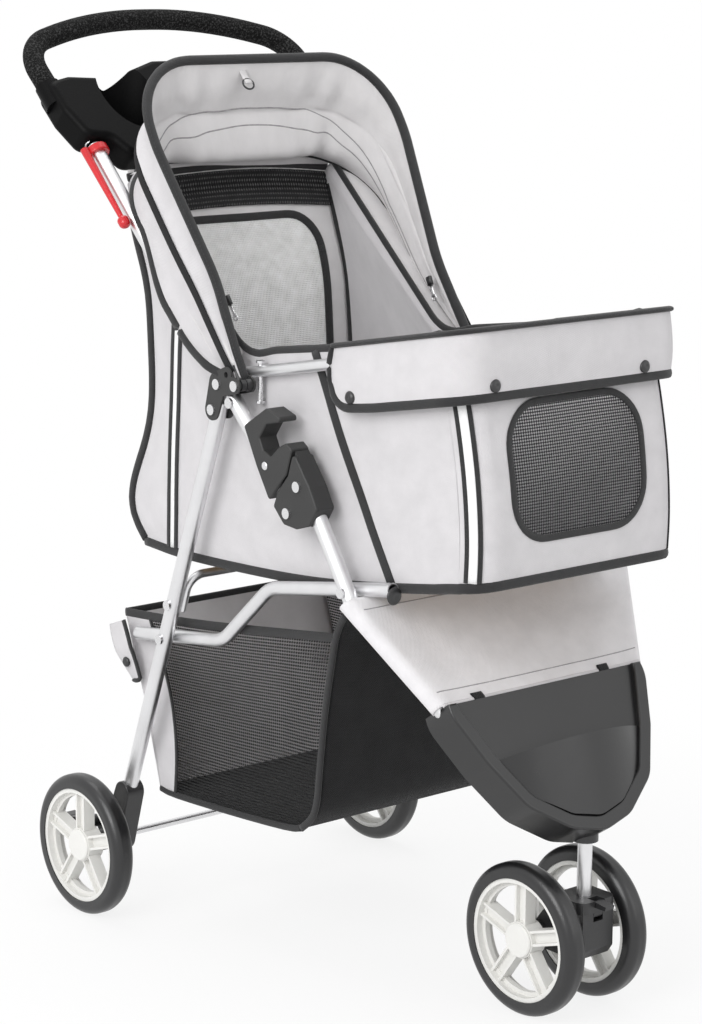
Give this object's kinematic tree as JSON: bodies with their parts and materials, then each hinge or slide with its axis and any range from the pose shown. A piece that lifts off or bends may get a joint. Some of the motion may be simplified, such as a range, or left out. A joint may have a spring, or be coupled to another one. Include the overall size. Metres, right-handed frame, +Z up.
{
  "type": "pet_stroller",
  "caption": "Three-wheel folding pet stroller with grey fabric cabin, hood, mesh basket, foam handle with cup tray and a swivelling front caster.",
  "frame": {"origin": "centre of the footprint, on the floor under the wheels", "axes": "+Z up, -Y to the front with the single caster, +X to the right as seen from the front"},
  "size_m": [0.436, 0.765, 0.9699],
  "materials": {
    "tube": "satin",
    "steel": "brushed",
    "grey_plastic": "matte",
    "black_plastic": "gloss",
    "foam": "matte",
    "tyre": "matte",
    "wheel_white": "matte",
    "red_plastic": "gloss",
    "grey_fabric": "woven",
    "mesh_fabric": "mesh",
    "board": "plain"
  },
  "bodies": {
    "front_frame": {"front_leg_left": "tube", "front_leg_right": "tube", "fold_housing_left": "grey_plastic", "fold_housing_right": "grey_plastic", "front_frame_rivets": "steel", "nose_shell": "black_plastic", "stem_socket": "steel", "caster_stem": "steel", "apron": "grey_fabric"},
    "handle_frame": {"handle_tube_left": "tube", "handle_tube_right": "tube", "handle_bow": "tube", "foam_grip": "foam", "console": "grey_plastic", "hinge_plate_outer_left": "grey_plastic", "hinge_plate_outer_right": "grey_plastic", "hinge_plate_inner_left": "grey_plastic", "hinge_plate_inner_right": "grey_plastic", "handle_rivets": "steel", "canopy_hood": "grey_fabric"},
    "rear_frame": {"rear_leg_left": "tube", "rear_leg_right": "tube", "rear_axle": "steel", "axle_bracket_left": "black_plastic", "axle_bracket_right": "black_plastic", "floor_support_bar": "tube", "rear_leg_rivets": "steel"},
    "carrier": {"carrier_rail_left": "tube", "carrier_rail_right": "tube", "cabin": "grey_fabric", "floor_board": "board", "basket": "mesh_fabric"},
    "bumper": {"bumper_rail": "tube", "bumper_pins": "steel", "front_flap": "grey_fabric"},
    "canopy_front": {"canopy_front_bow": "steel"},
    "canopy_middle": {"canopy_mid_bow": "steel"},
    "caster": {"caster_block": "black_plastic", "front_axle": "steel", "swivel_lock_pin": "steel"},
    "swivel_lock": {"swivel_lock_tab": "black_plastic"},
    "clip": {"fold_clip": "red_plastic"},
    "latch_left": {"latch_slider_left": "grey_plastic"},
    "brake_left": {"brake_pedal_left": "black_plastic"},
    "front_wheel_left": {"front_wheel_left_tyre": "tyre", "front_wheel_left_rim": "wheel_white", "front_wheel_left_hub_cap": "wheel_white"},
    "rear_wheel_left": {"rear_wheel_left_tyre": "tyre", "rear_wheel_left_rim": "wheel_white", "rear_wheel_left_hub_cap": "wheel_white"},
    "latch_right": {"latch_slider_right": "grey_plastic"},
    "brake_right": {"brake_pedal_right": "black_plastic"},
    "front_wheel_right": {"front_wheel_right_tyre": "tyre", "front_wheel_right_rim": "wheel_white", "front_wheel_right_hub_cap": "wheel_white"},
    "rear_wheel_right": {"rear_wheel_right_tyre": "tyre", "rear_wheel_right_rim": "wheel_white", "rear_wheel_right_hub_cap": "wheel_white"}
  },
  "joints": [
    {"name": "fold", "type": "hinge", "parent": "front_frame", "child": "handle_frame", "pos_m": [0, -0.093, 0.4895], "axis": [-1, 0, 0], "range_deg": [0, 120], "deforming": ["cabin", "basket", "front_flap", "canopy_hood", "apron"]},
    {"name": "rear_leg_fold", "type": "hinge", "parent": "handle_frame", "child": "rear_frame", "pos_m": [0, 0.02993, 0.57747], "axis": [-1, 0, 0], "range_deg": [-64, 0.5]},
    {"name": "carrier_fold", "type": "hinge", "parent": "front_frame", "child": "carrier", "pos_m": [0, -0.17166, 0.42244], "axis": [-1, 0, 0], "range_deg": [-0.5, 84]},
    {"name": "bumper_fold", "type": "hinge", "parent": "handle_frame", "child": "bumper", "pos_m": [0, 0.00597, 0.61581], "axis": [-1, 0, 0], "range_deg": [-38, 0.5]},
    {"name": "canopy_swing", "type": "hinge", "parent": "handle_frame", "child": "canopy_front", "pos_m": [0, -0.00798, 0.60598], "axis": [1, 0, 0], "range_deg": [-6, 85], "deforming": ["canopy_hood"]},
    {"name": "canopy_middle_swing", "type": "hinge", "parent": "handle_frame", "child": "canopy_middle", "pos_m": [0, -0.00798, 0.60598], "axis": [1, 0, 0], "range_deg": [-4, 44]},
    {"name": "caster_swivel", "type": "hinge", "parent": "front_frame", "child": "caster", "pos_m": [0, -0.3435, 0.1], "axis": [0, 0, 1], "continuous": true},
    {"name": "swivel_lock", "type": "hinge", "parent": "caster", "child": "swivel_lock", "pos_m": [0, -0.3595, 0.109], "axis": [-1, 0, 0], "range_deg": [0, 18]},
    {"name": "clip_turn", "type": "hinge", "parent": "handle_frame", "child": "clip", "pos_m": [-0.1615, 0.23619, 0.82215], "axis": [0, 0.7034, 0.7108], "range_deg": [-40, 70]},
    {"name": "latch_slide_left", "type": "slide", "parent": "handle_frame", "child": "latch_left", "axis": [0, 0.7034, 0.7108], "range_m": [0, 0.012], "stiffness_N_per_m": 120, "springref_m": -0.012},
    {"name": "front_wheel_spin_left", "type": "hinge", "parent": "caster", "child": "front_wheel_left", "pos_m": [-0.043, -0.305, 0.0775], "axis": [1, 0, 0], "continuous": true},
    {"name": "rear_wheel_spin_left", "type": "hinge", "parent": "rear_frame", "child": "rear_wheel_left", "pos_m": [-0.206, 0.217, 0.0775], "axis": [1, 0, 0], "continuous": true},
    {"name": "brake_press_left", "type": "hinge", "parent": "rear_frame", "child": "brake_left", "pos_m": [-0.182, 0.241, 0.0915], "axis": [-1, 0, 0], "range_deg": [0, 20]},
    {"name": "latch_slide_right", "type": "slide", "parent": "handle_frame", "child": "latch_right", "axis": [0, 0.7034, 0.7108], "range_m": [0, 0.012], "stiffness_N_per_m": 120, "springref_m": -0.012},
    {"name": "front_wheel_spin_right", "type": "hinge", "parent": "caster", "child": "front_wheel_right", "pos_m": [0.043, -0.305, 0.0775], "axis": [1, 0, 0], "continuous": true},
    {"name": "rear_wheel_spin_right", "type": "hinge", "parent": "rear_frame", "child": "rear_wheel_right", "pos_m": [0.206, 0.217, 0.0775], "axis": [1, 0, 0], "continuous": true},
    {"name": "brake_press_right", "type": "hinge", "parent": "rear_frame", "child": "brake_right", "pos_m": [0.182, 0.241, 0.0915], "axis": [-1, 0, 0], "range_deg": [0, 20]}
  ],
  "couplings": [
    {"joint": "rear_leg_fold", "follows": "fold", "ratio": -0.5258},
    {"joint": "carrier_fold", "follows": "fold", "ratio": 0.6935},
    {"joint": "bumper_fold", "follows": "fold", "ratio": -0.307},
    {"joint": "canopy_middle_swing", "follows": "canopy_swing", "ratio": 0.5}
  ]
}
